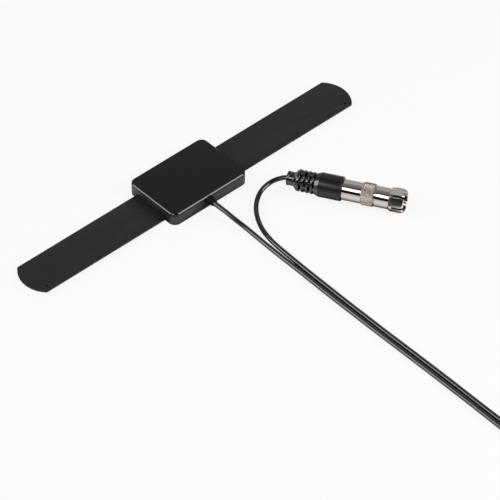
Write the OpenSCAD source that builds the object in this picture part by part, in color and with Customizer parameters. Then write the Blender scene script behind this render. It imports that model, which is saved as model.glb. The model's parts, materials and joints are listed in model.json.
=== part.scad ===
/* [Arms] */
// Distance from the middle of the case to the tip of an arm
arm_tip_x = 106.1; // [95:0.1:120]
// Width of each arm
arm_w = 22.5; // [18:0.1:23]
// Sheet thickness of the arms
arm_t = 1; // [0.8:0.1:1.4]
// Radius of the arched tip
arm_tip_r = 15.8; // [14:0.2:24]
// Radius that rounds the two corners of the tip
arm_corner_r = 1; // [0.5:0.1:2]
// Gap between the inner ends of the two arms
arm_gap = 6; // [4:0.5:8]
// Diameter of the small hanging hole used for painting
hang_hole_d = 1.2; // [0.8:0.1:2]
// Distance of the hanging hole from the tip
hang_hole_inset = 7.1; // [5:0.1:10]
// Distance of the hanging hole from the front edge of the arm
hang_hole_edge = 2.6; // [2:0.1:5]

/* [Case] */
// Length of the case
case_len = 49.2; // [46:0.2:56]
// Depth of the case
case_dep = 34.6; // [33:0.2:40]
// Height of the case over the surface it lies on
case_h = 7.2; // [7.1:0.1:9]
// Plan radius of the upright corners
case_corner_r = 3.8; // [3:0.1:6]
// Thickness of the side walls
case_wall = 1.6; // [1.2:0.1:2]
// Thickness of the case floor under the arms
base_t = 1.2; // [1:0.1:1.6]
// Clearance between the arms and the slots they pass through
arm_clear = 0.1; // [0.05:0.05:0.2]
// Height of the lid
lid_t = 1.7; // [1.5:0.1:2.2]
// Thickness of the flat part of the lid
lid_plate_t = 0.9; // [0.8:0.1:1]
// Width of the bevel round the lid
lid_bevel = 0.5; // [0.3:0.1:0.8]
// Height and depth of the shadow groove at the seam
seam_groove = 0.2; // [0.1:0.05:0.3]
// Height of the locating rim under the lid
rim_h = 0.8; // [0.5:0.1:1]
// Thickness of the locating rim
rim_t = 0.8; // [0.6:0.1:1]
// Diameter of the four pegs that hold the lid
peg_d = 1.6; // [1.2:0.1:2]
// Length of each peg inside its boss
peg_grip = 1.6; // [1.2:0.1:2]
// Outer diameter of the bosses that take the pegs
boss_d = 3.4; // [3:0.1:3.8]
// Clearance round the pegs and the rim
lid_clear = 0.05; // [0.03:0.01:0.1]

/* [Fasteners] */
// Shank diameter of the rivets
rivet_d = 1.6; // [1.2:0.1:2]
// Head diameter of the rivets
rivet_head_d = 2.8; // [2.4:0.1:3.2]
// Height of the formed head on the inner side
rivet_head_h = 0.4; // [0.3:0.1:0.5]
// Depth of the sunk head
rivet_sink_h = 0.6; // [0.4:0.1:0.7]
// Distance of the contact rivets from the middle
contact_x = 8; // [7:0.5:10]
// Distance of the outer rivets from the middle
holder_x = 18; // [17:0.5:19]
// Clearance of the rivets in their holes
rivet_clear = 0.05; // [0.03:0.01:0.1]

/* [Board] */
// Length of the circuit board
board_len = 28; // [24:0.5:30]
// Depth of the circuit board
board_dep = 20; // [18:0.5:22]
// Thickness of the circuit board
board_t = 0.6; // [0.5:0.1:0.8]
// Width of the notch for the coaxial lead
notch_w = 2.4; // [2.2:0.1:3]
// Depth of that notch
notch_dep = 3; // [2.5:0.1:4]
// Diameter of the two pegs that locate the board
board_peg_d = 1.4; // [1:0.1:1.8]
// Length of the ferrite core along its holes
core_len = 5; // [4:0.5:6]
// Width of the ferrite core across its holes
core_w = 4.4; // [4:0.2:5]
// Height of the ferrite core
core_h = 2.2; // [2:0.1:2.4]
// Diameter of the two holes in the core
core_hole_d = 1.2; // [1:0.1:1.4]
// Diameter of the enamelled wire
wire_d = 0.4; // [0.3:0.05:0.5]
// Length of a chip component
chip_len = 1.6; // [1:0.1:2]

/* [Cable] */
// Outer diameter of the coaxial cable
cable_d = 2.5; // [2.4:0.1:2.6]
// Diameter over the braid
braid_d = 1.9; // [1.6:0.1:2]
// Diameter of the inner insulation
dielectric_d = 1.4; // [1.2:0.1:1.5]
// Diameter of the centre wire
core_wire_d = 0.5; // [0.4:0.05:0.6]
// Mean radius of the coiled part
coil_mean_r = 13; // [12.5:0.1:13.5]
// Turns side by side in the coil
coil_wide = 3; // [3:1:3]
// Turns on top of each other in the coil
coil_high = 4; // [4:1:4]
// Width of the tie round the coil
tie_w = 6; // [4:0.5:10]
// Thickness of the tie
tie_t = 0.4; // [0.3:0.1:0.6]

/* [Gland] */
// Distance of the cable exit from the middle of the front side
gland_x = -1.5; // [-3:0.5:3]
// Height of the cable axis above the surface
gland_z = 4.55; // [4.4:0.05:4.7]
// Diameter of the outer flange
gland_d = 5.2; // [4.8:0.1:5.6]
// Thickness of the flange in front of the wall
gland_t = 1.3; // [1:0.1:2]
// Diameter of the neck in the wall
gland_neck_d = 3.2; // [3:0.1:3.3]
// Length of the tapered nose
nose_len = 2.6; // [2:0.1:5]
// Diameter of the nose at the flange
nose_root_d = 4.2; // [3.9:0.1:4.8]
// Diameter of the nose at its tip
nose_tip_d = 3.6; // [3.4:0.1:3.8]
// Diameter of the lip behind the wall
gland_lip_d = 4.4; // [4:0.1:4.8]
// Thickness of the lip behind the wall
gland_lip_t = 0.7; // [0.5:0.1:1]
// Clearance of the cable in the gland
cable_clear = 0.1; // [0.05:0.05:0.2]

/* [Plug] */
// Diameter of the moulded grip
grip_d = 12.5; // [11.6:0.1:13]
// Length of the moulded grip
grip_len = 13.8; // [12:0.2:16]
// Length of the bevel at the cable end of the grip
grip_bevel = 2.4; // [2:0.2:4]
// Diameter of the ribbed strain relief
cage_d = 11.2; // [10:0.1:11.6]
// Number of rings in the strain relief
cage_rings = 4; // [3:1:5]
// Distance from ring to ring
cage_pitch = 2.35; // [2:0.05:2.6]
// Width of each ring
ring_w = 1.25; // [0.9:0.05:1.4]
// Number of windows in each gap between rings
cage_windows = 6; // [5:1:8]
// Width of the bars between windows
bar_w = 1.5; // [1:0.1:2]
// Diameter of the inner tube that the windows show
cage_core_d = 6; // [5:0.1:6.4]
// Diameter of the collar at the cable end
collar_d = 7.4; // [6.6:0.1:8]
// Length of the collar at the cable end
collar_len = 3.6; // [3:0.1:6]
// Length of the cone between the collar and the strain relief
cone_len = 2.1; // [1.5:0.1:3]
// Outer diameter of the plug's metal sleeve
shell_d = 9.1; // [8.9:0.05:9.3]
// Length of the sleeve in front of the grip
shell_len = 8.5; // [7.5:0.25:9]
// Length of the sleeve inside the grip
shell_hold = 5; // [4:0.5:6]
// Wall of the sleeve
shell_wall = 0.4; // [0.3:0.05:0.5]
// Length of the spring slots in the sleeve
shell_slot_len = 5; // [4:0.5:6]
// Diameter of the centre pin
pin_d = 2.4; // [2.2:0.05:2.5]

/* [Adapter] */
// Clearance of the plug's sleeve inside the adapter
socket_clear = 0.1; // [0.05:0.01:0.15]
// Wall of the adapter's socket barrel
socket_wall = 0.7; // [0.6:0.05:0.8]
// Length of the socket barrel up to the knurl
barrel_len = 10.3; // [9.4:0.1:12]
// Diameter over the knurl
knurl_d = 11.8; // [11.4:0.1:12.2]
// Length of the knurled ring
knurl_len = 6.4; // [5:0.2:8]
// Number of knurl ridges round the ring
knurl_count = 30; // [24:2:36]
// Depth of the knurl
knurl_depth = 0.35; // [0.2:0.05:0.4]
// Diameter of the plain sleeve beyond the knurl
sleeve_d = 10.8; // [10.4:0.1:11]
// Length of the plain sleeve
sleeve_len = 8; // [6:0.2:9]
// Width across the flats of the push-on collar
hex_af = 11.4; // [10.8:0.1:11.6]
// Diameter that rounds the corners of the push-on collar
hex_round_d = 12.4; // [11.8:0.1:12.4]
// Length of the push-on collar
hex_len = 7.7; // [6.5:0.1:9]
// Bore of the push-on collar
hex_bore_d = 9.4; // [9.2:0.05:9.6]
// Width of the spring slots
slot_w = 1.2; // [0.6:0.1:1.4]
// Length of the spring slots
slot_len = 5.8; // [4:0.1:6]
// Diameter of the thin centre pin
thin_pin_d = 1; // [0.8:0.05:1.1]
// Diameter of that pin's thicker part in the insulator
seat_pin_d = 1.8; // [1.6:0.1:2.2]
// Length of the thin pin beyond the end of the collar
thin_pin_out = 0.5; // [0:0.1:3]

/* [Hidden] */
$fn = 64;
// Overlap that keeps cuts clean
cut = 1;

// Levels of the case, counted from the surface it lies on
seam_z = case_h - lid_t;
lid_in_z = case_h - lid_plate_t;
arm_top = base_t + arm_t;
board_top = arm_top + board_t;
cavity_len = case_len - 2 * case_wall;
cavity_dep = case_dep - 2 * case_wall;
cavity_r = case_corner_r - case_wall;
arm_slot_w = arm_w + 2 * arm_clear;
boss_x = cavity_len / 2 - boss_d / 2 - 1;
boss_y = cavity_dep / 2 - boss_d / 2 - 0.3;
boss_top = seam_z - rim_h;
rim_clear = 2 * lid_clear;

// Front of the case and the end of the gland
front_y = -case_dep / 2;
front_in_y = -cavity_dep / 2;
nose_y = front_y - gland_t - nose_len;

// Arm outline: the corner circles touch the long edge and the tip arc
tip_mid_x = arm_tip_x - arm_tip_r;
corner_y = arm_w / 2 - arm_corner_r;
corner_dx = sqrt(pow(arm_tip_r - arm_corner_r, 2) - pow(corner_y, 2));
hang_x = arm_tip_x - hang_hole_inset;
hang_y = -arm_w / 2 + hang_hole_edge;

// Coaxial lead inside the case: where each layer ends
board_front = -board_dep / 2;
jacket_end = board_front - 2;
braid_end = board_front + notch_dep - 0.4;
dielectric_end = braid_end + 1.4;
core_wire_end = dielectric_end + 1.5;
clamp_w = 1.6;
clamp_t = 0.3;
clamp_foot = 1.2;

// Ferrite core on the board
core_y = 2.5;
core_hole_gap = 2.2;
core_z = board_top + core_h / 2;
winding_shift = wire_d / 2 + 0.05;
primary_reach = core_len / 2 + 0.65;
secondary_reach = core_len / 2 + 0.15;
chip_places = [[5.5, -4.5], [-6.5, -4.5], [8.5, 6], [-8.5, 6]];
board_peg_places = [[0, 7.8], [1.9, -8]];

// Plug and adapter: distances along their common axis, from the cable end
cage_start = collar_len + cone_len;
cage_end = cage_start + cage_rings * cage_pitch - (cage_pitch - ring_w);
grip_start = cage_end + 0.7;
grip_end = grip_start + grip_len;
shell_start = grip_end - shell_hold;
shell_end = grip_end + shell_len;
plug_face = grip_end - 2;
pin_start = shell_start - 1;
pin_end = shell_end + 0.4;
socket_bore_d = shell_d + 2 * socket_clear;
socket_d = socket_bore_d + 2 * socket_wall;
mouth_d = socket_d - 1;
mouth_step = 0.8;
mouth_len = 2.6;
knurl_start = grip_end + barrel_len;
knurl_end = knurl_start + knurl_len;
sleeve_end = knurl_end + sleeve_len;
hex_end = sleeve_end + hex_len;
spigot_d = socket_bore_d - 1.3;
spigot_len = 3;
rear_disc_start = shell_end + 0.6;
rear_disc_end = knurl_end - spigot_len - 0.3;
contact_bore = pin_d + 0.1;
contact_d = pin_d + 1.2;
contact_start = plug_face + 3.5;
contact_step = rear_disc_start + 1.2;
front_disc_d = spigot_d - 1.4;
front_disc_start = knurl_end + 1;
front_disc_end = sleeve_end - 0.6;
hex_floor = sleeve_end + 0.2;
hex_turn = 1;
axis_z = grip_d / 2;
plug_place = [36.6, -33.2];
plug_turn = -59;

// Free cable, laid on the surface: the stretch from the gland to the coil
out_route = [
    [-1.5, -12, 4.55], [-1.5, -17, 4.55], [-1.5, -22, 4.5], [-1.3, -29, 4.2], [-0.9, -35.6, 3.3],
    [-0.2, -42.4, 2.2], [0, -49.1, 1.5], [-0.2, -57.1, 1.25], [-0.5, -69, 1.25], [-0.7, -84, 1.25],
    [-1.1, -99, 1.25], [-1.3, -114, 1.25], [-1.4, -129, 1.25], [-1.4, -144, 1.25], [-1.4, -159, 1.25],
    [-1.4, -174, 1.25], [-1.5, -189, 1.25], [-1.6, -204, 1.25], [-1.9, -219, 1.25], [-2.1, -234, 1.25],
    [-2.3, -249, 1.3], [-2.4, -263, 1.5], [-2.4, -275, 1.65]
];
// The stretch from the coil back to the plug
back_route = [
    [28.6, -275, 9.15], [28.6, -267, 8.8], [28.6, -259, 7.6], [26.7, -252, 6], [21.6, -247, 4.4],
    [14.5, -245, 3], [7.5, -243, 1.9], [2.6, -238, 1.4], [1.1, -231, 1.25], [1.1, -219, 1.25],
    [1.2, -204, 1.25], [1.4, -189, 1.25], [1.5, -174, 1.25], [1.5, -159, 1.25], [1.4, -144, 1.25],
    [1.5, -129, 1.25], [1.6, -114, 1.25], [1.9, -99, 1.25], [2.2, -84, 1.25], [2.7, -71, 1.25],
    [3.1, -63, 1.25], [3.9, -56, 1.25], [5.9, -48.2, 1.25], [8.8, -42, 1.3], [12.3, -36.7, 1.6],
    [16.6, -32.4, 2.1], [21.5, -29.5, 3], [26.5, -28.4, 3.9], [31, -28.9, 4.8], [34.1, -30.7, 5.7],
    [36.3, -32.7, 6.25], [39.2, -37.5, 6.25], [44.3, -46.1, 6.25]
];
coil_x = 13.1;
coil_y = -275;
coil_half_w = coil_wide * cable_d / 2;
coil_h = coil_high * cable_d;

// One rounded rectangle, centred
module rounded_rect(len, dep, rad) {
    square([len - 2 * rad, dep], center = true);
    square([len, dep - 2 * rad], center = true);
    for (sx = [-1, 1], sy = [-1, 1])
        translate([sx * (len / 2 - rad), sy * (dep / 2 - rad)]) circle(rad, $fn = 48);
}

module rounded_slab(len, dep, rad, h) {
    linear_extrude(h) rounded_rect(len, dep, rad);
}

module along_y(d, y0, y1, d2 = 0) {
    translate([gland_x, y1, gland_z]) rotate([90, 0, 0])
        cylinder(d1 = d, d2 = d2 > 0 ? d2 : d, h = y1 - y0);
}

// Hole with a cone that sinks a rivet's head into the underside
module sunk_hole(depth) {
    wide = 2 * rivet_clear;
    translate([0, 0, -cut]) cylinder(d = rivet_d + wide, h = depth + 2 * cut, $fn = 32);
    translate([0, 0, -0.01])
        cylinder(d1 = rivet_head_d + wide, d2 = rivet_d + wide, h = rivet_sink_h + rivet_clear, $fn = 32);
}

module case_body() {
    color([0.16, 0.16, 0.155]) difference() {
        rounded_slab(case_len, case_dep, case_corner_r, seam_z);
        // Room for the board
        difference() {
            translate([0, 0, base_t]) rounded_slab(cavity_len, cavity_dep, cavity_r, case_h);
            for (sx = [-1, 1], sy = [-1, 1]) translate([sx * boss_x, sy * boss_y, base_t - cut])
                cylinder(d = boss_d, h = boss_top - base_t + cut, $fn = 48);
            for (p = board_peg_places) translate([p[0], p[1], base_t - cut])
                cylinder(d = board_peg_d, h = board_top + 0.5 - base_t + cut, $fn = 32);
        }
        // Slots in the side walls for the two arms
        for (sx = [-1, 1]) translate([sx * case_len / 2, 0, base_t + (arm_t + arm_clear) / 2])
            cube([4 * case_wall, arm_slot_w, arm_t + arm_clear], center = true);
        // Blind holes for the lid pegs
        for (sx = [-1, 1], sy = [-1, 1]) translate([sx * boss_x, sy * boss_y, boss_top - peg_grip - 0.2])
            cylinder(d = peg_d + 2 * lid_clear, h = peg_grip + 0.2 + cut, $fn = 32);
        for (sx = [-1, 1]) translate([sx * holder_x, 0, 0]) sunk_hole(base_t);
        along_y(gland_neck_d, front_y - cut, front_in_y + 0.3);
    }
}

// One straight run of the rim that locates the lid inside a wall at that distance
module rim_run(len, wall_at) {
    translate([-len / 2, wall_at - rim_clear - rim_t, boss_top]) cube([len, rim_t, lid_in_z - boss_top + 0.01]);
    translate([-len / 2, wall_at - rim_clear - rim_t, seam_z])
        cube([len, rim_clear + rim_t + 0.01, lid_in_z - seam_z + 0.01]);
}

module top_lid() {
    side_run = cavity_dep - 4 * cavity_r - boss_d;
    back_run = cavity_len - 4 * cavity_r - boss_d;
    color([0.13, 0.12, 0.13]) difference() {
        union() {
            difference() {
                union() {
                    // Shadow groove, upright edge and bevel
                    translate([0, 0, seam_z])
                        rounded_slab(case_len - 2 * seam_groove, case_dep - 2 * seam_groove,
                            case_corner_r - seam_groove, seam_groove + 0.01);
                    hull() {
                        translate([0, 0, seam_z + seam_groove])
                            rounded_slab(case_len, case_dep, case_corner_r, lid_t - seam_groove - lid_bevel);
                        translate([0, 0, case_h - 0.01])
                            rounded_slab(case_len - 2 * lid_bevel, case_dep - 2 * lid_bevel,
                                case_corner_r - lid_bevel, 0.01);
                    }
                }
                translate([0, 0, seam_z - cut])
                    rounded_slab(cavity_len, cavity_dep, cavity_r, lid_in_z - seam_z + cut);
            }
            rim_run(back_run, cavity_dep / 2);
            for (a = [-90, 90]) rotate([0, 0, a]) rim_run(side_run, cavity_len / 2);
            for (sx = [-1, 1], sy = [-1, 1]) translate([sx * boss_x, sy * boss_y, boss_top - peg_grip])
                cylinder(d = peg_d, h = lid_in_z - boss_top + peg_grip + 0.1, $fn = 32);
        }
        along_y(gland_neck_d, front_y - cut, front_in_y + 0.3);
    }
}

module cable_gland() {
    color([0.06, 0.06, 0.06]) difference() {
        union() {
            along_y(gland_d, front_y - gland_t, front_y);
            along_y(nose_root_d, nose_y, front_y - gland_t + 0.01, nose_tip_d);
            along_y(gland_neck_d - 0.02, front_y - gland_t, front_in_y + 0.01);
            // Lip behind the wall, flat at the top to clear the lid
            intersection() {
                along_y(gland_lip_d, front_in_y, front_in_y + gland_lip_t);
                translate([gland_x - gland_d, front_in_y - cut, base_t])
                    cube([2 * gland_d, gland_lip_t + 2 * cut, lid_in_z - 0.05 - base_t]);
            }
        }
        along_y(cable_d + 2 * cable_clear, nose_y - cut, front_in_y + gland_lip_t + cut);
        // Two grooves round the nose
        for (g = [0.7, 1.5]) translate([gland_x, nose_y + g, gland_z]) rotate([90, 0, 0])
            difference() {
                cylinder(d = gland_d, h = 0.3);
                translate([0, 0, -cut]) cylinder(d = nose_tip_d - 0.4, h = 2 * cut);
            }
    }
}

module arm_outline() {
    ray = [corner_dx, corner_y];
    translate([arm_gap / 2, -arm_w / 2]) square([tip_mid_x + corner_dx - arm_gap / 2, arm_w]);
    translate([tip_mid_x, 0]) {
        for (sy = [-1, 1]) translate([corner_dx, sy * corner_y]) circle(arm_corner_r, $fn = 48);
        intersection() {
            circle(arm_tip_r, $fn = 180);
            polygon([[0, 0], [2 * ray[0], -2 * ray[1]], [2 * ray[0], 2 * ray[1]]]);
        }
    }
}

module right_arm() {
    color([0.2, 0.195, 0.195]) translate([0, 0, base_t]) difference() {
        linear_extrude(arm_t) arm_outline();
        translate([contact_x, 0, 0]) sunk_hole(arm_t);
        translate([holder_x, 0, -cut]) cylinder(d = rivet_d + 2 * rivet_clear, h = arm_t + 2 * cut, $fn = 32);
        translate([hang_x, hang_y, -cut]) cylinder(d = hang_hole_d, h = arm_t + 2 * cut, $fn = 32);
    }
}

module left_arm() {
    mirror([1, 0, 0]) right_arm();
}

// One rivet with its sunk head below and its formed head on top
module rivet(top) {
    cylinder(d1 = rivet_head_d, d2 = rivet_d, h = rivet_sink_h, $fn = 32);
    cylinder(d = rivet_d, h = top, $fn = 32);
    translate([0, 0, top]) cylinder(d1 = rivet_head_d, d2 = rivet_head_d - 0.6, h = rivet_head_h, $fn = 32);
}

module contact_rivets() {
    color([0.8, 0.65, 0.35]) for (sx = [-1, 1]) translate([sx * contact_x, 0, base_t])
        rivet(board_top - base_t);
}

module holder_rivets() {
    color([0.8, 0.65, 0.35]) for (sx = [-1, 1]) translate([sx * holder_x, 0, 0]) rivet(arm_top);
}

module circuit_board() {
    color([0.1, 0.35, 0.18]) difference() {
        translate([-board_len / 2, board_front, arm_top]) cube([board_len, board_dep, board_t]);
        translate([gland_x - notch_w / 2, board_front - cut, arm_top - cut])
            cube([notch_w, notch_dep + cut, board_t + 2 * cut]);
        for (sx = [-1, 1]) translate([sx * contact_x, 0, arm_top - cut])
            cylinder(d = rivet_d + 2 * rivet_clear, h = board_t + 2 * cut, $fn = 32);
        for (p = board_peg_places) translate([p[0], p[1], arm_top - cut])
            cylinder(d = board_peg_d + 0.1, h = board_t + 2 * cut, $fn = 32);
    }
}

module balun_core() {
    color([0.25, 0.24, 0.24]) translate([0, core_y, core_z]) rotate([0, 90, 0]) difference() {
        translate([0, 0, -core_len / 2]) linear_extrude(core_len) {
            square([core_h, core_w - core_h], center = true);
            for (sy = [-1, 1]) translate([0, sy * (core_w - core_h) / 2]) circle(core_h / 2, $fn = 48);
        }
        for (sy = [-1, 1]) translate([0, sy * core_hole_gap / 2, -core_len])
            cylinder(d = core_hole_d, h = 2 * core_len, $fn = 32);
    }
}

// A loop of wire through both holes of the core, with one leg down to the board
module wire_loop(reach, z, leg_side) {
    bend_r = core_hole_gap / 2;
    translate([0, core_y, z]) {
        for (sy = [-1, 1]) translate([-reach, sy * bend_r, 0]) rotate([0, 90, 0])
            cylinder(d = wire_d, h = 2 * reach, $fn = 24);
        for (sx = [-1, 1]) translate([sx * reach, 0, 0]) rotate([0, 0, sx * 90 - 180])
            rotate_extrude(angle = 180, $fn = 48) translate([bend_r, 0]) circle(d = wire_d, $fn = 24);
        translate([leg_side * (reach + bend_r), 0, board_top - z]) cylinder(d = wire_d, h = z - board_top, $fn = 24);
    }
}

module balun_primary() {
    color([0.75, 0.4, 0.2]) wire_loop(primary_reach, core_z + winding_shift, 1);
}

module balun_secondary() {
    color([0.7, 0.3, 0.15]) wire_loop(secondary_reach, core_z - winding_shift, -1);
}

module chip_components() {
    color([0.6, 0.5, 0.4]) for (p = chip_places)
        translate([p[0] - chip_len / 2, p[1] - chip_len / 4, board_top]) cube([chip_len, chip_len / 2, chip_len / 2]);
}

module coax_clamp() {
    inner = braid_d / 2;
    color([0.75, 0.75, 0.76]) translate([gland_x, board_front + 0.6, gland_z]) rotate([90, 0, 0]) mirror([0, 0, 1]) {
        linear_extrude(clamp_w) {
            difference() {
                union() {
                    circle(inner + clamp_t, $fn = 48);
                    translate([-inner - clamp_t, board_top - gland_z])
                        square([2 * (inner + clamp_t), gland_z - board_top]);
                    translate([-inner - clamp_t - clamp_foot, board_top - gland_z])
                        square([2 * (inner + clamp_t + clamp_foot), clamp_t]);
                }
                circle(inner + 0.02, $fn = 48);
                translate([-inner - 0.02, -2 * gland_z]) square([2 * inner + 0.04, 2 * gland_z]);
                translate([-2 * gland_z, board_top - gland_z - 2 * gland_z]) square([4 * gland_z, 2 * gland_z]);
            }
        }
    }
}

module coax_braid() {
    color([0.7, 0.68, 0.65]) difference() {
        along_y(braid_d, jacket_end, braid_end);
        along_y(dielectric_d, jacket_end - cut, braid_end + cut);
    }
}

module coax_dielectric() {
    color([0.9, 0.9, 0.88]) difference() {
        along_y(dielectric_d, jacket_end, dielectric_end);
        along_y(core_wire_d, jacket_end - cut, dielectric_end + cut);
    }
}

module coax_wire() {
    color([0.8, 0.5, 0.3]) {
        along_y(core_wire_d, jacket_end, core_wire_end);
        translate([gland_x, core_wire_end, gland_z]) sphere(d = core_wire_d, $fn = 24);
        translate([gland_x, core_wire_end, board_top]) cylinder(d = core_wire_d, h = gland_z - board_top, $fn = 24);
    }
}

// Sweeps an eight-sided section along a route
SIDES = 8;
function unit(v) = v / norm(v);
function heading(route, i) =
    i == 0 ? unit(route[1] - route[0]) :
    i == len(route) - 1 ? unit(route[i] - route[i - 1]) :
    unit(unit(route[i] - route[i - 1]) + unit(route[i + 1] - route[i]));
function ring(route, i, rad) =
    let (t = heading(route, i), side = unit(cross(t, [0, 0, 1])), up = cross(side, t))
    [for (k = [0 : SIDES - 1]) route[i] + rad * (cos(k * 360 / SIDES) * side + sin(k * 360 / SIDES) * up)];

module sweep(route, d) {
    n = len(route);
    points = [for (i = [0 : n - 1]) each ring(route, i, d / 2)];
    sides = [for (i = [0 : n - 2], k = [0 : SIDES - 1]) let (m = (k + 1) % SIDES)
        each [[i * SIDES + k, i * SIDES + m, (i + 1) * SIDES + m],
            [i * SIDES + k, (i + 1) * SIDES + m, (i + 1) * SIDES + k]]];
    first = [[for (k = [0 : SIDES - 1]) SIDES - 1 - k]];
    last = [[for (k = [0 : SIDES - 1]) (n - 1) * SIDES + k]];
    polyhedron(points, concat(sides, first, last), convexity = 6);
}

module cable_out() {
    color([0.07, 0.07, 0.07]) sweep(out_route, cable_d);
}

module cable_back() {
    color([0.07, 0.07, 0.07]) sweep(back_route, cable_d);
}

module cable_coil() {
    color([0.07, 0.07, 0.07]) translate([coil_x, coil_y, tie_t]) rotate_extrude($fn = 96)
        translate([coil_mean_r, coil_h / 2]) rounded_rect(2 * coil_half_w, coil_h, cable_d / 2);
}

module cable_tie() {
    spread = tie_w / coil_mean_r * 180 / PI;
    color([0.1, 0.1, 0.1]) translate([coil_x, coil_y, tie_t]) rotate([0, 0, -90 - spread / 2])
        rotate_extrude(angle = spread, $fn = 96) translate([coil_mean_r, coil_h / 2]) difference() {
            rounded_rect(2 * coil_half_w + 2 * tie_t, coil_h + 2 * tie_t, cable_d / 2 + tie_t);
            rounded_rect(2 * coil_half_w, coil_h, cable_d / 2);
        }
}

// Puts what is drawn along +X in its place on the surface
module on_plug_axis() {
    translate([plug_place[0], plug_place[1], axis_z]) rotate([0, 0, plug_turn]) children();
}

module rod(x0, x1, d1, d2 = 0) {
    translate([x0, 0, 0]) rotate([0, 90, 0]) cylinder(d1 = d1, d2 = d2 > 0 ? d2 : d1, h = x1 - x0);
}

module plug_moulding() {
    window_deg = 360 / cage_windows;
    edge = 0.4;
    color([0.07, 0.07, 0.07]) on_plug_axis() difference() {
        union() {
            rod(0, 0.5, collar_d - 0.8, collar_d);
            rod(0.5, collar_len, collar_d);
            rod(collar_len, cage_start, collar_d, cage_d);
            // Inner tube, rings and staggered bars of the strain relief
            rod(collar_len, grip_start + 0.1, cage_core_d);
            for (i = [0 : cage_rings - 1]) rod(cage_start + i * cage_pitch, cage_start + i * cage_pitch + ring_w, cage_d);
            for (i = [0 : cage_rings - 1], k = [0 : cage_windows - 1])
                translate([cage_start + i * cage_pitch + ring_w / 2, 0, 0])
                    rotate([(k + (i % 2) / 2) * window_deg, 0, 0])
                        translate([0, -bar_w / 2, 0]) cube([cage_pitch, bar_w, cage_d / 2 - 0.35]);
            rod(grip_start - 0.01, grip_start + grip_bevel, cage_d - 0.5, grip_d);
            rod(grip_start + grip_bevel, grip_end - edge, grip_d);
            rod(grip_end - edge, grip_end, grip_d, grip_d - 2 * edge);
        }
        rod(-cut, grip_start, cable_d + 2 * cable_clear);
        rod(grip_start - cut, shell_start, cable_d + 2 * cable_clear);
        rod(shell_start, grip_end + cut, shell_d);
    }
}

module plug_shell() {
    color([0.75, 0.74, 0.72]) on_plug_axis() difference() {
        union() {
            rod(shell_start, shell_end - 0.3, shell_d);
            rod(shell_end - 0.3, shell_end, shell_d, shell_d - 0.4);
        }
        rod(shell_start + 0.6, shell_end + cut, shell_d - 2 * shell_wall);
        rod(shell_start - cut, shell_end, cable_d + 2 * cable_clear);
        // Spring slots at the mouth
        for (a = [0, 90]) rotate([a, 0, 0]) translate([shell_end - shell_slot_len, -0.3, -shell_d])
            cube([shell_slot_len + cut, 0.6, 2 * shell_d]);
    }
}

module plug_insulator() {
    color([0.92, 0.92, 0.9]) on_plug_axis() difference() {
        rod(shell_start + 0.6, plug_face, shell_d - 2 * shell_wall);
        rod(shell_start, plug_face + cut, pin_d);
    }
}

module plug_pin() {
    color([0.8, 0.78, 0.72]) on_plug_axis() {
        rod(pin_start, pin_end - pin_d / 2, pin_d);
        translate([pin_end - pin_d / 2, 0, 0]) sphere(d = pin_d, $fn = 48);
    }
}

// Diamond knurl: ridges and dimples alternate round and along the ring
module knurled_ring(x0, x1, d, depth, count) {
    steps = 2 * count;
    rows = 2 * round((x1 - x0) * count / (PI * d));
    points = [for (j = [0 : rows], k = [0 : steps - 1])
        let (end = j == 0 || j == rows, low = end || (j + k) % 2 == 1, r = d / 2 - (low ? depth : 0))
        [x0 + (x1 - x0) * j / rows, r * cos(k * 360 / steps), r * sin(k * 360 / steps)]];
    sides = [for (j = [0 : rows - 1], k = [0 : steps - 1])
        let (m = (k + 1) % steps, a = j * steps + k, b = j * steps + m, c = a + steps, e = b + steps)
        each (j + k) % 2 == 0 ? [[a, c, e], [a, e, b]] : [[a, c, b], [b, c, e]]];
    start = [[for (k = [0 : steps - 1]) k]];
    finish = [[for (k = [0 : steps - 1]) rows * steps + steps - 1 - k]];
    polyhedron(points, concat(sides, start, finish), convexity = 4);
}

module adapter_socket() {
    color([0.78, 0.78, 0.77]) on_plug_axis() difference() {
        union() {
            // Tapered mouth, barrel and knurl
            rod(grip_end, grip_end + mouth_step, mouth_d, (mouth_d + socket_d) / 2);
            rod(grip_end + mouth_step, grip_end + mouth_len, (mouth_d + socket_d) / 2, socket_d);
            rod(grip_end + mouth_len, knurl_start + 0.1, socket_d);
            knurled_ring(knurl_start, knurl_end, knurl_d, knurl_depth, knurl_count);
        }
        rod(grip_end - cut, rear_disc_end, socket_bore_d);
        rod(rear_disc_end - cut, knurl_end + cut, spigot_d);
    }
}

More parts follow.
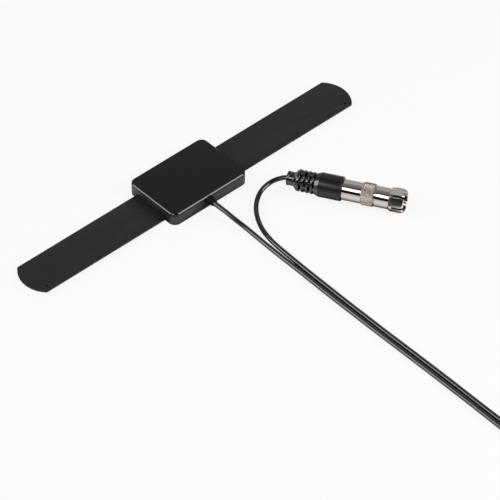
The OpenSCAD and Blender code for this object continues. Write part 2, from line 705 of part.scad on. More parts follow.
module adapter_collar() {
    groove = 0.5;
    color([0.8, 0.79, 0.78]) on_plug_axis() difference() {
        union() {
            rod(knurl_end - spigot_len, knurl_end, spigot_d);
            rod(knurl_end, knurl_end + groove, sleeve_d - 0.8);
            rod(knurl_end + groove, knurl_end + groove + 0.3, sleeve_d - 0.6, sleeve_d);
            rod(knurl_end + groove + 0.3, sleeve_end - groove, sleeve_d);
            rod(sleeve_end - groove, sleeve_end, sleeve_d - 0.8);
            // Hexagonal spring collar with rounded corners and a bevelled mouth
            intersection() {
                translate([sleeve_end, 0, 0]) rotate([hex_turn, 0, 0]) rotate([0, 90, 0]) rotate([0, 0, 90])
                    cylinder(d = hex_af / cos(30), h = hex_len, $fn = 6);
                union() {
                    rod(sleeve_end, sleeve_end + 0.5, hex_round_d - 1, hex_round_d);
                    rod(sleeve_end + 0.5, hex_end - 1.6, hex_round_d);
                    rod(hex_end - 1.6, hex_end - 0.5, hex_round_d, hex_round_d - 1);
                    rod(hex_end - 0.5, hex_end, hex_round_d - 1, hex_round_d - 2);
                }
            }
        }
        rod(front_disc_start, sleeve_end, front_disc_d);
        rod(knurl_end - spigot_len - cut, sleeve_end, front_disc_d - 1);
        rod(sleeve_end - cut, hex_floor + cut, front_disc_d - 2);
        rod(hex_floor, hex_end + cut, hex_bore_d);
        rod(hex_end - 0.5, hex_end + 0.01, hex_bore_d, hex_bore_d + 0.8);
        for (k = [0 : 2]) rotate([hex_turn + k * 60, 0, 0])
            translate([hex_end - slot_len, -hex_round_d, -slot_w / 2])
                cube([slot_len + cut, 2 * hex_round_d, slot_w]);
    }
}

module adapter_rear_insulator() {
    color([0.92, 0.92, 0.9]) on_plug_axis() difference() {
        rod(rear_disc_start, rear_disc_end, socket_bore_d);
        rod(rear_disc_start - cut, contact_step, contact_d);
        rod(rear_disc_start, rear_disc_end + cut, pin_d);
    }
}

module adapter_front_insulator() {
    color([0.92, 0.92, 0.9]) on_plug_axis() difference() {
        rod(front_disc_start, front_disc_end, front_disc_d);
        rod(front_disc_start - cut, front_disc_end + cut, seat_pin_d);
    }
}

module adapter_contact() {
    color([0.82, 0.68, 0.4]) on_plug_axis() difference() {
        union() {
            rod(contact_start, contact_step, contact_d);
            rod(contact_step, rear_disc_end + 0.6, pin_d);
            rod(rear_disc_end + 0.6, front_disc_end, seat_pin_d);
            rod(front_disc_end, hex_end + thin_pin_out - 0.5, thin_pin_d);
            rod(hex_end + thin_pin_out - 0.5, hex_end + thin_pin_out, thin_pin_d, thin_pin_d * 0.4);
        }
        rod(contact_start - cut, pin_end + 0.3, contact_bore);
        for (a = [0, 90]) rotate([a, 0, 0])
            translate([contact_start - cut, -0.2, -contact_d]) cube([3.5, 0.4, 2 * contact_d]);
    }
}

top_lid();
case_body();
cable_gland();
left_arm();
right_arm();
contact_rivets();
holder_rivets();
circuit_board();
balun_core();
balun_primary();
balun_secondary();
chip_components();
coax_clamp();
coax_braid();
coax_dielectric();
coax_wire();
cable_out();
cable_coil();
cable_back();
cable_tie();
plug_moulding();
plug_shell();
plug_insulator();
plug_pin();
adapter_socket();
adapter_collar();
adapter_rear_insulator();
adapter_front_insulator();
adapter_contact();
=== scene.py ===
import json
import math

import bmesh
import bpy
from mathutils import Matrix, Vector


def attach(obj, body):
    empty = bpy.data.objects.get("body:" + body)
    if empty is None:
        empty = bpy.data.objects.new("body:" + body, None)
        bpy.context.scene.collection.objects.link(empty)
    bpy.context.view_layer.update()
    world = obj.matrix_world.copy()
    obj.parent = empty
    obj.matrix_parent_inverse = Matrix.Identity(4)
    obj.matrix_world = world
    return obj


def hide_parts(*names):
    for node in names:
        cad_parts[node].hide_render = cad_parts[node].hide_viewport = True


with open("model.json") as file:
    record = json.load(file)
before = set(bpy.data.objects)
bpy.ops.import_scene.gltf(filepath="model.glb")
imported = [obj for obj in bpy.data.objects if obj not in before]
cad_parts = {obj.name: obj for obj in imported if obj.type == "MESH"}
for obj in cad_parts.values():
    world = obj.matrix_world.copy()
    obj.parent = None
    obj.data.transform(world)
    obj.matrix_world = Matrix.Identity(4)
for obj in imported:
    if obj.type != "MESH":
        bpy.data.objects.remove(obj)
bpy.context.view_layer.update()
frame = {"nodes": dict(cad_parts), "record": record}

MM = 0.001
BODY = "root"

# Camera: direction, distance and framing of the photograph
VIEW_AZIMUTH = -42.2
VIEW_ELEVATION = 43.9
VIEW_DISTANCE = 1.84
VIEW_TARGET = (-0.0086, -0.0552, 0.0012)
LENS = 270.4
SENSOR_WIDTH = 36
CLIP_START = 0.05
CLIP_END = 20

# Floor: its flat part and the curve up behind it, its paper, its white as seen, the share of its shading
# that shows, how far its contact shading reaches and the levels of it that fade, and the half length and
# half width in millimetres of the patch below the arms where the camera sees that contact shading
FLOOR_FLAT_R = 5.0
FLOOR_CURVE_R = 0.6
FLOOR_CURVE_ANGLE = 75
FLOOR_RINGS = 24
FLOOR_STEPS = 96
PAPER_GREY = 0.9
PAPER_ROUGH = 0.9
PAPER_SPECULAR = 0.1
FLOOR_WHITE = 1.0
SHADOW_SHARE = 0.13
CONTACT_REACH = 0.012
CONTACT_FADE = (0.3, 0.95)
UNDER_ARMS = (101.5, 8)

# Light: a softbox has a direction from the object, distance, size and power; a bright side of the room has
# a direction, the angles from it where it starts and stops fading, and its strength
SOFTBOXES = [
    ("right_softbox", (0.484, -0.692, 0.533), 0.7, (0.38, 0.49), 3),
    ("left_softbox", (-0.693, 0.534, 0.484), 1.3, (0.7, 0.9), 8),
    ("top_softbox", (-0.632, -0.139, 0.762), 1.5, (0.56, 0.56), 4.6),
]
WORLD_BASE = 0.01
WORLD_PATCHES = [
    ((0.52, 0.56, 0.64), 5, 35, 0.3),
    ((0.52, 0.56, 0.64), 45, 75, 0.2),
]

# Cable: its sizes and the coil's are in metres, its route and the coil's centre in millimetres
CABLE_D = 0.0025
CABLE_STEP = 0.002
CABLE_SIDES = 20
COIL_MEAN_R = 0.013
COIL_WIDE = 3
COIL_HIGH = 4
COIL_TURNS = 11.5
COIL_STEPS = 16
TIE_T = 0.0004
OUT_ROUTE = [
    (-1.5, -12, 4.55), (-1.5, -17, 4.55), (-1.5, -22, 4.5), (-1.3, -29, 4.2), (-0.9, -35.6, 3.3),
    (-0.2, -42.4, 2.2), (0, -49.1, 1.5), (-0.2, -57.1, 1.25), (-0.5, -69, 1.25), (-0.7, -84, 1.25),
    (-1.1, -99, 1.25), (-1.3, -114, 1.25), (-1.4, -129, 1.25), (-1.4, -144, 1.25), (-1.4, -159, 1.25),
    (-1.4, -174, 1.25), (-1.5, -189, 1.25), (-1.6, -204, 1.25), (-1.9, -219, 1.25), (-2.1, -234, 1.25),
    (-2.3, -249, 1.3), (-2.4, -263, 1.5),
]
BACK_ROUTE = [
    (28.6, -267, 8.8), (28.6, -259, 7.6), (26.7, -252, 6), (21.6, -247, 4.4), (14.5, -245, 3),
    (7.5, -243, 1.9), (2.6, -238, 1.4), (1.1, -231, 1.25), (1.1, -219, 1.25), (1.2, -204, 1.25),
    (1.4, -189, 1.25), (1.5, -174, 1.25), (1.5, -159, 1.25), (1.4, -144, 1.25), (1.5, -129, 1.25),
    (1.6, -114, 1.25), (1.9, -99, 1.25), (2.2, -84, 1.25), (2.7, -71, 1.25), (3.1, -63, 1.25),
    (3.9, -56, 1.25), (5.9, -48.2, 1.25), (8.8, -42, 1.3), (12.3, -36.7, 1.6), (16.6, -32.4, 2.1),
    (21.5, -29.5, 3), (26.5, -28.4, 3.9), (31, -28.9, 4.8), (34.1, -30.7, 5.7), (36.3, -32.7, 6.25),
    (39.2, -37.5, 6.25), (44.3, -46.1, 6.25),
]
COIL_CENTRE = (13.1, -275)

# Plug: place and turn of its axis, then distances along it and radii, in millimetres
PLUG_PLACE = (36.6, -33.2, 6.25)
PLUG_TURN = math.radians(-59)
CABLE_BORE_R = 1.35
COLLAR_END = 3.6
COLLAR_LIP_R = 3.7
COLLAR_R = 3.5
CAGE_START = 5.7
CAGE_PITCH = 2.35
CAGE_RINGS = 4
RING_W = 1.25
CAGE_R = 5.6
CORE_R = 3.0
WINDOWS = 6
BAR_W = 1.5
BAR_R = 5.25
GRIP_START = 14.7
GRIP_BEVEL = 2.4
GRIP_R = 6.25
GRIP_END = 28.5
SHELL_START = 23.5
SHELL_R = 4.55
# How far bars and rings reach into the core, so that they hold together
JOIN = 0.1

# Heights between which the lid's bevel lies, in millimetres
BEVEL_LOW = 6.68
BEVEL_HIGH = 7.18

# Widths of the rounded edges, in metres
FINE_EDGE = 0.00012
GLAND_EDGE = 0.00015
SHEET_EDGE = 0.0002

# Adapter: socket with its mouth and knurl, then the collar's hexagon, in millimetres along the plug's axis
BARREL_R = 5.35
MOUTH_LENGTH = 0.7
MOUTH_DROP = 0.3
SOCKET_BORE_R = 4.65
KNURL_START = 38.8
KNURL_END = 45.2
KNURL_R = 5.9
KNURL_DEPTH = 0.42
KNURL_COUNT = 30
KNURL_CHAMFER = 0.4
KNURL_STEEPNESS = 1.15
SPIGOT_R = 4.0
REAR_DISC_END = 41.9
HEX_START = 53.2
HEX_END = 60.9
HEX_BORE_R = 4.7

# Nickel: how far past the knurl and the hexagon their finish reaches, and past the bore its painted shade,
# in millimetres, then the knurl's tint and the colour of the bore's painted shade, and what is added to the
# roughness
KNURL_MARGIN = 0.2
HEX_MARGIN = 0.1
BORE_MARGIN = 0.15
KNURL_TINT = (0.48, 0.43, 0.4)
BORE_PAINTED_SHADE_COLOUR = (0.07, 0.065, 0.06)
KNURL_ROUGHER = 0.15
HEX_ROUGHER = 0.09


def make_camera():
    data = bpy.data.cameras.new("camera")
    data.lens = LENS
    data.sensor_width = SENSOR_WIDTH
    data.clip_start = CLIP_START
    data.clip_end = CLIP_END
    camera = bpy.data.objects.new("camera", data)
    bpy.context.scene.collection.objects.link(camera)
    a = math.radians(VIEW_AZIMUTH)
    e = math.radians(VIEW_ELEVATION)
    back = Vector((math.sin(a) * math.cos(e), -math.cos(a) * math.cos(e), math.sin(e)))
    camera.location = Vector(VIEW_TARGET) + back * VIEW_DISTANCE
    camera.rotation_mode = "QUATERNION"
    camera.rotation_quaternion = (-back).to_track_quat("-Z", "Y")
    bpy.context.scene.camera = camera


def coil_points():
    """The turns: inward in the first layer, outward in the next, from the left side to the right side.
    Known faults: turns side by side come out 1.74 mm apart and not a diameter, so they overlap, and each
    layer is reached in a single step, which bends the cable too sharply there."""
    points = []
    count = round(COIL_TURNS * COIL_STEPS)
    per_layer = COIL_TURNS / COIL_HIGH
    for i in range(count + 1):
        turn = i / COIL_STEPS
        layer = min(int(turn / per_layer), COIL_HIGH - 1)
        across = (turn - layer * per_layer) / per_layer
        inward = across if layer % 2 == 0 else 1 - across
        radius = COIL_MEAN_R + CABLE_D * (COIL_WIDE - 1) * (0.5 - inward)
        height = TIE_T + CABLE_D * (0.5 + layer)
        angle = math.pi + 2 * math.pi * turn
        points.append((
            COIL_CENTRE[0] * MM + radius * math.cos(angle),
            COIL_CENTRE[1] * MM + radius * math.sin(angle),
            height,
        ))
    return points


def smooth_path(points, step):
    """Points at about that spacing on a smooth curve through the given ones."""
    dense = []
    last = len(points) - 1
    for i in range(last):
        p0, p1, p2, p3 = (Vector(points[min(max(k, 0), last)]) for k in (i - 1, i, i + 1, i + 2))
        span = (p2 - p1).length
        start = (p2 - p0) * (span / max((p1 - p0).length + span, span))
        end = (p3 - p1) * (span / max((p3 - p2).length + span, span))
        count = max(1, round(span / step))
        for k in range(count):
            t = k / count
            dense.append(
                (2 * t**3 - 3 * t**2 + 1) * p1 + (t**3 - 2 * t**2 + t) * start
                + (3 * t**2 - 2 * t**3) * p2 + (t**3 - t**2) * end
            )
    dense.append(Vector(points[last]))
    return dense


def sweep(name, path, radius, sides):
    """A round tube along a path, closed at both ends."""
    work = bmesh.new()
    loops = []
    side = (path[1] - path[0]).cross(Vector((0, 0, 1))).normalized()
    for i, p in enumerate(path):
        along = (path[min(i + 1, len(path) - 1)] - path[max(i - 1, 0)]).normalized()
        side = (side - along * side.dot(along)).normalized()
        up = side.cross(along)
        loops.append([
            work.verts.new(p + radius * (side * math.cos(a) + up * math.sin(a)))
            for a in (2 * math.pi * k / sides for k in range(sides))
        ])
    for low, high in zip(loops, loops[1:]):
        for k in range(sides):
            m = (k + 1) % sides
            work.faces.new((low[k], high[k], high[m], low[m]))
    work.faces.new(loops[0])
    work.faces.new(reversed(loops[-1]))
    return finished(work, name)


def finished(work, name, angle=35):
    """Turns a bmesh into an object with smooth faces and crisp edges."""
    bmesh.ops.recalc_face_normals(work, faces=work.faces)
    mesh = bpy.data.meshes.new(name)
    work.to_mesh(mesh)
    work.free()
    for face in mesh.polygons:
        face.use_smooth = True
    mesh.set_sharp_from_angle(angle=math.radians(angle))
    piece = bpy.data.objects.new(name, mesh)
    bpy.context.scene.collection.objects.link(piece)
    return piece


def make_cable():
    out = [tuple(v * MM for v in p) for p in OUT_ROUTE]
    back = [tuple(v * MM for v in p) for p in BACK_ROUTE]
    path = smooth_path(out + coil_points() + back, CABLE_STEP)
    cable = sweep("antenna_cable", path, CABLE_D / 2, CABLE_SIDES)
    paint(cable, "cable_jacket")
    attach(cable, BODY)
    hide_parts("cable_out", "cable_coil", "cable_back")
    return cable, path


def new_material(name):
    material = bpy.data.materials.new(name)
    material.use_nodes = True
    return material, material.node_tree.nodes["Principled BSDF"]


def add(material, kind, **values):
    made = material.node_tree.nodes.new(kind)
    for key, value in values.items():
        if key in made.inputs:
            made.inputs[key].default_value = value
        else:
            setattr(made, key, value)
    return made


def link(material, source, target):
    material.node_tree.links.new(source, target)


def surface(name, dark, light, rough, rough_spread, grain, bump, metallic=0.0, specular=0.5,
            blotch=60, stretch=(1, 1, 1), turn=0.0):
    """A procedural finish: blotches of two near colours, grain in roughness and relief.
    grain and blotch are in patches per metre, bump in metres."""
    material, shader = new_material(name)
    place = add(material, "ShaderNodeTexCoord")
    turned = add(material, "ShaderNodeMapping", Rotation=(0, 0, turn))
    link(material, place.outputs["Object"], turned.inputs["Vector"])
    mapped = add(material, "ShaderNodeMapping", Scale=stretch)
    link(material, turned.outputs["Vector"], mapped.inputs["Vector"])
    wide = add(material, "ShaderNodeTexNoise", Scale=blotch, Detail=3.0)
    fine = add(material, "ShaderNodeTexNoise", Scale=grain, Detail=4.0, Roughness=0.6)
    link(material, place.outputs["Object"], wide.inputs["Vector"])
    link(material, mapped.outputs["Vector"], fine.inputs["Vector"])
    tint = add(material, "ShaderNodeMix", data_type="RGBA")
    link(material, wide.outputs["Fac"], tint.inputs[0])
    tint.inputs[6].default_value = (*dark, 1)
    tint.inputs[7].default_value = (*light, 1)
    link(material, tint.outputs[2], shader.inputs["Base Color"])
    spread = add(material, "ShaderNodeMapRange")
    spread.inputs["To Min"].default_value = rough - rough_spread
    spread.inputs["To Max"].default_value = rough + rough_spread
    link(material, fine.outputs["Fac"], spread.inputs["Value"])
    link(material, spread.outputs["Result"], shader.inputs["Roughness"])
    relief = add(material, "ShaderNodeBump", Strength=1.0, Distance=bump)
    link(material, fine.outputs["Fac"], relief.inputs["Height"])
    link(material, relief.outputs["Normal"], shader.inputs["Normal"])
    shader.inputs["Metallic"].default_value = metallic
    shader.inputs["Specular IOR Level"].default_value = specular
    return material


def plug_coordinates(material):
    """Distance along the plug's axis and from it, in metres."""
    place = add(material, "ShaderNodeTexCoord")
    offset = add(material, "ShaderNodeVectorMath", operation="SUBTRACT")
    offset.inputs[1].default_value = Vector(PLUG_PLACE) * MM
    link(material, place.outputs["Object"], offset.inputs[0])
    axis = (math.cos(PLUG_TURN), math.sin(PLUG_TURN), 0)
    along = add(material, "ShaderNodeVectorMath", operation="DOT_PRODUCT")
    along.inputs[1].default_value = axis
    link(material, offset.outputs[0], along.inputs[0])
    side = add(material, "ShaderNodeVectorMath", operation="CROSS_PRODUCT")
    side.inputs[1].default_value = axis
    link(material, offset.outputs[0], side.inputs[0])
    radius = add(material, "ShaderNodeVectorMath", operation="LENGTH")
    link(material, side.outputs[0], radius.inputs[0])
    return along.outputs["Value"], radius.outputs["Value"]


def between(material, value, low, high):
    """1 where the value lies between the two, given in millimetres."""
    test = add(material, "ShaderNodeMath", operation="COMPARE")
    test.inputs[1].default_value = (low + high) / 2 * MM
    test.inputs[2].default_value = (high - low) / 2 * MM
    link(material, value, test.inputs[0])
    return test.outputs[0]


def both(material, first, second):
    test = add(material, "ShaderNodeMath", operation="MULTIPLY")
    link(material, first, test.inputs[0])
    link(material, second, test.inputs[1])
    return test.outputs[0]


def tint_where(material, where, colour):
    shader = material.node_tree.nodes["Principled BSDF"]
    mix = add(material, "ShaderNodeMix", data_type="RGBA")
    link(material, where, mix.inputs[0])
    link(material, shader.inputs["Base Color"].links[0].from_socket, mix.inputs[6])
    mix.inputs[7].default_value = (*colour, 1)
    link(material, mix.outputs[2], shader.inputs["Base Color"])


def rougher_where(material, where, amount):
    shader = material.node_tree.nodes["Principled BSDF"]
    more = add(material, "ShaderNodeMath", operation="MULTIPLY_ADD")
    more.inputs[1].default_value = amount
    link(material, where, more.inputs[0])
    link(material, shader.inputs["Roughness"].links[0].from_socket, more.inputs[2])
    link(material, more.outputs[0], shader.inputs["Roughness"])


def nickel():
    """Polished, but duller and warmer on the knurl and brushed on the hexagon, with painted shade darkening
    its bore.
    """
    material = surface("nickel", (0.65, 0.595, 0.56), (0.71, 0.65, 0.615), 0.1, 0.04, 900, 0.000001,
                       metallic=1.0, stretch=(6, 0.4, 0.4), turn=-PLUG_TURN)
    along, radius = plug_coordinates(material)
    knurl = both(material, between(material, along, KNURL_START, KNURL_END),
                 between(material, radius, BARREL_R - KNURL_MARGIN, KNURL_R + KNURL_MARGIN))
    tint_where(material, knurl, KNURL_TINT)
    rougher_where(material, knurl, KNURL_ROUGHER)
    hexagon = between(material, along, HEX_START, HEX_END + HEX_MARGIN)
    rougher_where(material, hexagon, HEX_ROUGHER)
    # Painted shade: the bore inside the hexagon gets a near-black colour that stands in for the shadow in
    # the hollow
    bore_painted_shade = both(material, hexagon, between(material, radius, 0, HEX_BORE_R + BORE_MARGIN))
    tint_where(material, bore_painted_shade, BORE_PAINTED_SHADE_COLOUR)
    return material


MATERIALS = {
    "painted_sheet": surface("painted_sheet", (0.0145, 0.013, 0.0136), (0.0185, 0.017, 0.0176), 0.42, 0.05,
                             3500, 0.00001, specular=0.38),
    "lid_plastic": surface("lid_plastic", (0.0055, 0.003, 0.0038), (0.0075, 0.005, 0.0058), 0.16, 0.03,
                           2500, 0.000002, specular=0.25),
    "lid_bevel": surface("lid_bevel", (0.0055, 0.003, 0.0038), (0.0075, 0.005, 0.0058), 0.16, 0.03,
                         2500, 0.000002, specular=0.75),
    "case_plastic": surface("case_plastic", (0.0105, 0.0096, 0.0092), (0.0175, 0.0163, 0.0157), 0.42, 0.08,
                            2600, 0.00003, specular=0.7),
    "soft_plastic": surface("soft_plastic", (0.003, 0.0027, 0.0028), (0.005, 0.0047, 0.0048), 0.36, 0.04,
                            3000, 0.000004),
    "boot_gloss": surface("boot_gloss", (0.003, 0.0027, 0.0028), (0.005, 0.0047, 0.0048), 0.13, 0.03,
                          3000, 0.000003, specular=1.0),
    "gland_plastic": surface("gland_plastic", (0.003, 0.0027, 0.0028), (0.005, 0.0047, 0.0048), 0.46, 0.05,
                             3000, 0.000004, specular=0.2),
    "cable_jacket": surface("cable_jacket", (0.0035, 0.003, 0.003), (0.0055, 0.005, 0.0048), 0.14, 0.04,
                            2500, 0.000003, specular=0.9),
    "tie_plastic": surface("tie_plastic", (0.012, 0.012, 0.012), (0.02, 0.02, 0.02), 0.45, 0.06,
                           2500, 0.00003),
    "nickel": nickel(),
    "tinned_steel": surface("tinned_steel", (0.6, 0.59, 0.57), (0.7, 0.69, 0.66), 0.35, 0.08, 3000, 0.00001,
                            metallic=1.0),
    "brass": surface("brass", (0.62, 0.5, 0.3), (0.72, 0.6, 0.38), 0.25, 0.06, 2500, 0.000004, metallic=1.0),
    "copper_wire": surface("copper_wire", (0.5, 0.2, 0.08), (0.62, 0.28, 0.12), 0.3, 0.05, 2500, 0.000004,
                           metallic=0.8),
    "board": surface("board", (0.02, 0.13, 0.05), (0.03, 0.17, 0.07), 0.35, 0.05, 2000, 0.000006),
    "ferrite": surface("ferrite", (0.03, 0.03, 0.03), (0.05, 0.05, 0.05), 0.7, 0.08, 5000, 0.00003),
    "chip": surface("chip", (0.35, 0.26, 0.17), (0.45, 0.34, 0.24), 0.55, 0.06, 3000, 0.00001),
    "white_insulation": surface("white_insulation", (0.72, 0.71, 0.67), (0.8, 0.79, 0.75), 0.4, 0.05,
                                2000, 0.000006),
}


def paint(piece, slot, finish=None):
    piece.data.materials.clear()
    piece.data.materials.append(MATERIALS[finish or slot])


def second_finish(piece, finish, test):
    """Gives another finish to the faces whose centre, in millimetres, passes the test."""
    piece.data.materials.append(MATERIALS[finish])
    for face in piece.data.polygons:
        face.material_index = 1 if test(face.center / MM) else 0


def on_bevel(centre):
    return BEVEL_LOW < centre.z < BEVEL_HIGH


def before_grip(centre):
    axis = Vector((math.cos(PLUG_TURN), math.sin(PLUG_TURN), 0))
    return (centre - Vector(PLUG_PLACE)).dot(axis) < GRIP_START + GRIP_BEVEL


def dress_cad_nodes():
    for entry in frame["record"]["subparts"]:
        piece = frame["nodes"][entry["node"]]
        piece.data.materials.clear()
        piece.data.materials.append(MATERIALS[entry["material_slot"]])


def clean_copy(node, name):
    """A copy of a CAD node's mesh with flat areas joined into single faces."""
    mesh = frame["nodes"][node].data.copy()
    mesh.name = name
    work = bmesh.new()
    work.from_mesh(mesh)
    bmesh.ops.remove_doubles(work, verts=work.verts, dist=0.000001)
    bmesh.ops.dissolve_limit(work, angle_limit=math.radians(1), verts=work.verts, edges=work.edges)
    work.to_mesh(mesh)
    work.free()
    piece = bpy.data.objects.new(name, mesh)
    bpy.context.scene.collection.objects.link(piece)
    return piece


def rounded(node, name, slot, width, segments=3, angle=35):
    """Stands for a CAD node with its sharp edges rounded."""
    piece = clean_copy(node, name)
    bevel = piece.modifiers.new("edges", "BEVEL")
    bevel.width = width
    bevel.segments = segments
    bevel.limit_method = "ANGLE"
    bevel.angle_limit = math.radians(angle)
    bevel.harden_normals = False
    dg = bpy.context.evaluated_depsgraph_get()
    mesh = bpy.data.meshes.new_from_object(piece.evaluated_get(dg))
    piece.modifiers.clear()
    piece.data = mesh
    for face in mesh.polygons:
        face.use_smooth = True
    mesh.set_sharp_from_angle(angle=math.radians(angle))
    paint(piece, slot)
    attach(piece, BODY)
    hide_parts(node)
    return piece


def soft_corners(points, parts=4):
    """An outline of (x, y, fillet) corners as plain points, with its corners rounded."""
    result = []
    for i, (x, y, fillet) in enumerate(points):
        here = Vector((x, y))
        if not fillet:
            result.append(here)
            continue
        before = (Vector(points[i - 1][:2]) - here).normalized()
        after = (Vector(points[(i + 1) % len(points)][:2]) - here).normalized()
        half = before.angle(after) / 2
        centre = here + (before + after).normalized() * (fillet / math.sin(half))
        first = (here + before * (fillet / math.tan(half)) - centre).normalized()
        final = (here + after * (fillet / math.tan(half)) - centre).normalized()
        for k in range(parts + 1):
            way = (first * (1 - k / parts) + final * (k / parts)).normalized()
            result.append(centre + way * fillet)
    return result


def ring(work, x, r, steps):
    """Vertices on a circle round the X axis."""
    return [
        work.verts.new((x, r * math.cos(a), r * math.sin(a)))
        for a in (2 * math.pi * k / steps for k in range(steps))
    ]


def lathe(work, outline, steps=128):
    """Turns a closed outline of (x, radius) points round the X axis."""
    loops = [ring(work, x, r, steps) for x, r in outline]
    join_loops(work, loops + loops[:1])


def join_loops(work, loops):
    for low, high in zip(loops, loops[1:]):
        for k in range(len(low)):
            m = (k + 1) % len(low)
            work.faces.new((low[k], low[m], high[m], high[k]))


def lengthwise_bar(work, x0, x1, outline, turn):
    """A bar along X with that section, turned round the X axis."""
    spin = Matrix.Rotation(turn, 3, "X")
    loops = [[work.verts.new(spin @ Vector((x, p.x, p.y))) for p in outline] for x in (x0, x1)]
    join_loops(work, loops)
    work.faces.new(loops[0])
    work.faces.new(reversed(loops[1]))


def place_on_plug_axis(work):
    bmesh.ops.scale(work, vec=(MM, MM, MM), verts=work.verts)
    bmesh.ops.rotate(work, cent=(0, 0, 0), matrix=Matrix.Rotation(PLUG_TURN, 3, "Z"), verts=work.verts)
    bmesh.ops.translate(work, vec=Vector(PLUG_PLACE) * MM, verts=work.verts)


def stand_for(work, name, slot, node, angle=35):
    piece = finished(work, name, angle)
    paint(piece, slot)
    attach(piece, BODY)
    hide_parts(node)
    return piece


def make_boot():
    """Collar, ribbed strain relief with its staggered windows, and the grip."""
    work = bmesh.new()
    first_ring_end = CAGE_START + RING_W
    lathe(work, soft_corners([
        (0, COLLAR_LIP_R, 0.4), (0.9, COLLAR_LIP_R, 0.25), (1.2, COLLAR_R, 0.2), (COLLAR_END, COLLAR_R, 1.2),
        (CAGE_START - 0.2, CAGE_R - 0.15, 0.3), (CAGE_START + 0.3, CAGE_R, 0.3),
        (first_ring_end, CAGE_R, 0.35), (first_ring_end, CORE_R, 0.2),
        (GRIP_START, CORE_R, 0.2), (GRIP_START, CAGE_R - 0.25, 0.4), (GRIP_START + GRIP_BEVEL, GRIP_R, 2.0),
        (GRIP_END, GRIP_R, 0.35), (GRIP_END, SHELL_R, 0), (SHELL_START, SHELL_R, 0),
        (SHELL_START, CABLE_BORE_R, 0), (0, CABLE_BORE_R, 0.25),
    ]))
    for i in range(1, CAGE_RINGS):
        x = CAGE_START + i * CAGE_PITCH
        lathe(work, soft_corners([
            (x, CAGE_R, 0.4), (x + RING_W, CAGE_R, 0.4),
            (x + RING_W, CORE_R - JOIN, 0), (x, CORE_R - JOIN, 0),
        ]))
    half = BAR_W / 2
    section = soft_corners([
        (-half, CORE_R - JOIN, 0), (-half, BAR_R, 0.3), (half, BAR_R, 0.3), (half, CORE_R - JOIN, 0),
    ])
    for i in range(CAGE_RINGS):
        x = CAGE_START + i * CAGE_PITCH + RING_W / 2
        for k in range(WINDOWS):
            # The solid's bars point along +Z at the start of each row
            lengthwise_bar(work, x, x + CAGE_PITCH, section, (k + (i % 2) / 2) * 2 * math.pi / WINDOWS)
    place_on_plug_axis(work)
    boot = stand_for(work, "plug_boot", "soft_plastic", "plug_moulding")
    second_finish(boot, "boot_gloss", before_grip)
    return boot


def knurl_band(work, x0, x1, inner, across=36, around=360):
    """A closed ring whose outside has two sets of slanting grooves."""
    pitch = 2 * math.pi * KNURL_R / KNURL_COUNT
    loops = []
    for j in range(across + 1):
        x = x0 + (x1 - x0) * j / across
        slope = max(0, 1 - min(x - x0, x1 - x) / KNURL_CHAMFER)
        loop = []
        for k in range(around):
            a = 2 * math.pi * k / around
            u = a * KNURL_COUNT / (2 * math.pi)
            v = (x - x0) / pitch
            ridge = min(abs((u + v) % 1 - 0.5), abs((u - v) % 1 - 0.5)) * 2
            groove = KNURL_DEPTH * (1 - min(1, KNURL_STEEPNESS * ridge)) * (1 - slope)
            r = KNURL_R - KNURL_CHAMFER * slope - groove
            loop.append(work.verts.new((x, r * math.cos(a), r * math.sin(a))))
        loops.append(loop)
    loops += [ring(work, x, inner, around) for x in (x1, x0)]
    join_loops(work, loops + loops[:1])


def make_socket():
    """Socket barrel with its rounded mouth, and the knurled ring."""
    work = bmesh.new()
    lathe(work, soft_corners([
        (GRIP_END, BARREL_R - MOUTH_DROP, 0.1), (GRIP_END + MOUTH_LENGTH, BARREL_R, 0.6),
        (KNURL_START + 0.1, BARREL_R, 0), (KNURL_END, BARREL_R - 0.1, 0), (KNURL_END, SPIGOT_R, 0),
        (REAR_DISC_END, SPIGOT_R, 0), (REAR_DISC_END, SOCKET_BORE_R, 0), (GRIP_END, SOCKET_BORE_R, 0),
    ]))
    knurl_band(work, KNURL_START, KNURL_END, SOCKET_BORE_R + 0.2)
    place_on_plug_axis(work)
    return stand_for(work, "knurled_socket", "nickel", "adapter_socket", 50)


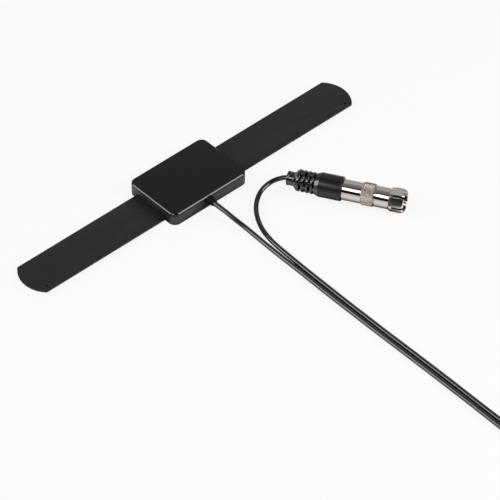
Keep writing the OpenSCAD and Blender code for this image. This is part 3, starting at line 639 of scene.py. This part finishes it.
def floor_paper():
    """White paper. The camera and reflections see it near white, with a part of its shading for the shadow.
    The camera sees its contact shading only below the arms, which darkens the hanging holes. Everything
    else, such as a reflection, sees that shading all round the object."""
    material, shader = new_material("floor_paper")
    shader.inputs["Base Color"].default_value = (PAPER_GREY, PAPER_GREY, PAPER_GREY, 1)
    shader.inputs["Roughness"].default_value = PAPER_ROUGH
    shader.inputs["Specular IOR Level"].default_value = PAPER_SPECULAR
    glow = add(material, "ShaderNodeEmission", Strength=1.0)
    glow.inputs["Color"].default_value = (FLOOR_WHITE, FLOOR_WHITE, FLOOR_WHITE, 1)
    paths = add(material, "ShaderNodeLightPath")
    contact = add(material, "ShaderNodeAmbientOcclusion", Distance=CONTACT_REACH)
    fade = add(material, "ShaderNodeMapRange", interpolation_type="SMOOTHSTEP")
    fade.inputs["From Min"].default_value = CONTACT_FADE[0]
    fade.inputs["From Max"].default_value = CONTACT_FADE[1]
    link(material, contact.outputs["AO"], fade.inputs["Value"])
    place = add(material, "ShaderNodeTexCoord")
    split = add(material, "ShaderNodeSeparateXYZ")
    link(material, place.outputs["Object"], split.inputs[0])
    reflected = add(material, "ShaderNodeMath", operation="SUBTRACT")
    reflected.inputs[0].default_value = 1
    link(material, paths.outputs["Is Camera Ray"], reflected.inputs[1])
    where = add(material, "ShaderNodeMath", operation="MAXIMUM")
    under = both(material, between(material, split.outputs["X"], -UNDER_ARMS[0], UNDER_ARMS[0]),
                 between(material, split.outputs["Y"], -UNDER_ARMS[1], UNDER_ARMS[1]))
    link(material, under, where.inputs[0])
    link(material, reflected.outputs[0], where.inputs[1])
    level = add(material, "ShaderNodeMix", data_type="FLOAT")
    level.inputs[2].default_value = 1
    link(material, where.outputs[0], level.inputs[0])
    link(material, fade.outputs["Result"], level.inputs[3])
    link(material, level.outputs[0], glow.inputs["Strength"])
    seen = add(material, "ShaderNodeMath", operation="MAXIMUM")
    link(material, paths.outputs["Is Camera Ray"], seen.inputs[0])
    link(material, paths.outputs["Is Glossy Ray"], seen.inputs[1])
    clear = add(material, "ShaderNodeMath", operation="MAXIMUM")
    link(material, seen.outputs[0], clear.inputs[0])
    link(material, paths.outputs["Is Transmission Ray"], clear.inputs[1])
    share = add(material, "ShaderNodeMath", operation="MULTIPLY")
    share.inputs[1].default_value = 1 - SHADOW_SHARE
    link(material, clear.outputs[0], share.inputs[0])
    mix = add(material, "ShaderNodeMixShader")
    link(material, share.outputs[0], mix.inputs[0])
    link(material, shader.outputs[0], mix.inputs[1])
    link(material, glow.outputs[0], mix.inputs[2])
    link(material, mix.outputs[0], material.node_tree.nodes["Material Output"].inputs["Surface"])
    return material


def make_floor():
    """A flat pale floor that curves up far from the object, so that no horizon shows."""
    profile = [(FLOOR_FLAT_R, 0.0)]
    profile += [
        (FLOOR_FLAT_R + FLOOR_CURVE_R * math.sin(t), FLOOR_CURVE_R * (1 - math.cos(t)))
        for t in (math.radians(FLOOR_CURVE_ANGLE) * k / FLOOR_RINGS for k in range(1, FLOOR_RINGS + 1))
    ]
    work = bmesh.new()
    centre = work.verts.new((0, 0, 0))
    loops = []
    for r, z in profile:
        loops.append([
            work.verts.new((r * math.cos(a), r * math.sin(a), z))
            for a in (2 * math.pi * k / FLOOR_STEPS for k in range(FLOOR_STEPS))
        ])
    for k in range(FLOOR_STEPS):
        work.faces.new((centre, loops[0][k], loops[0][(k + 1) % FLOOR_STEPS]))
    join_loops(work, loops)
    mesh = bpy.data.meshes.new("floor")
    work.to_mesh(mesh)
    work.free()
    for face in mesh.polygons:
        face.use_smooth = True
    floor = bpy.data.objects.new("floor", mesh)
    bpy.context.scene.collection.objects.link(floor)
    mesh.materials.append(floor_paper())


def softbox(name, direction, distance, size, power):
    data = bpy.data.lights.new(name, "AREA")
    data.shape = "RECTANGLE"
    data.size = size[0]
    data.size_y = size[1]
    data.energy = power
    lamp = bpy.data.objects.new(name, data)
    bpy.context.scene.collection.objects.link(lamp)
    way = Vector(direction).normalized()
    lamp.location = Vector(VIEW_TARGET) + way * distance
    lamp.rotation_mode = "QUATERNION"
    lamp.rotation_quaternion = (-way).to_track_quat("-Z", "Y")


def make_lights():
    for name, direction, distance, size, power in SOFTBOXES:
        softbox(name, direction, distance, size, power)
    world = bpy.data.worlds.new("studio")
    world.use_nodes = True
    tree = world.node_tree
    background = tree.nodes["Background"]
    background.inputs["Color"].default_value = (1, 1, 1, 1)
    place = tree.nodes.new("ShaderNodeTexCoord")
    level = None
    for direction, inner, outer, strength in WORLD_PATCHES:
        way = tree.nodes.new("ShaderNodeVectorMath")
        way.operation = "DOT_PRODUCT"
        way.inputs[1].default_value = Vector(direction).normalized()
        tree.links.new(place.outputs["Generated"], way.inputs[0])
        patch = tree.nodes.new("ShaderNodeMapRange")
        patch.interpolation_type = "SMOOTHSTEP"
        patch.inputs["From Min"].default_value = math.cos(math.radians(outer))
        patch.inputs["From Max"].default_value = math.cos(math.radians(inner))
        patch.inputs["To Max"].default_value = strength
        tree.links.new(way.outputs["Value"], patch.inputs["Value"])
        total = tree.nodes.new("ShaderNodeMath")
        total.operation = "ADD"
        total.inputs[1].default_value = WORLD_BASE
        tree.links.new(patch.outputs["Result"], total.inputs[0])
        if level:
            tree.links.new(level, total.inputs[1])
        level = total.outputs[0]
    tree.links.new(level, background.inputs["Strength"])
    bpy.context.scene.world = world


make_camera()
cable, cable_path = make_cable()
dress_cad_nodes()
lid = rounded("top_lid", "lid_shell", "lid_plastic", FINE_EDGE)
second_finish(lid, "lid_bevel", on_bevel)
rounded("case_body", "case_shell", "case_plastic", SHEET_EDGE)
rounded("left_arm", "left_arm_sheet", "painted_sheet", SHEET_EDGE)
rounded("right_arm", "right_arm_sheet", "painted_sheet", SHEET_EDGE)
gland = rounded("cable_gland", "gland_nose", "soft_plastic", GLAND_EDGE)
paint(gland, "soft_plastic", "gland_plastic")
on_cable = [
    gland,
    make_boot(),
    make_socket(),
    rounded("adapter_collar", "slotted_collar", "nickel", FINE_EDGE, angle=15),
]
on_cable += [frame["nodes"][name] for name in (
    "cable_tie", "plug_shell", "plug_insulator", "plug_pin", "adapter_rear_insulator",
    "adapter_front_insulator", "adapter_contact",
)]
make_floor()
make_lights()
bpy.context.scene.view_settings.view_transform = "Standard"
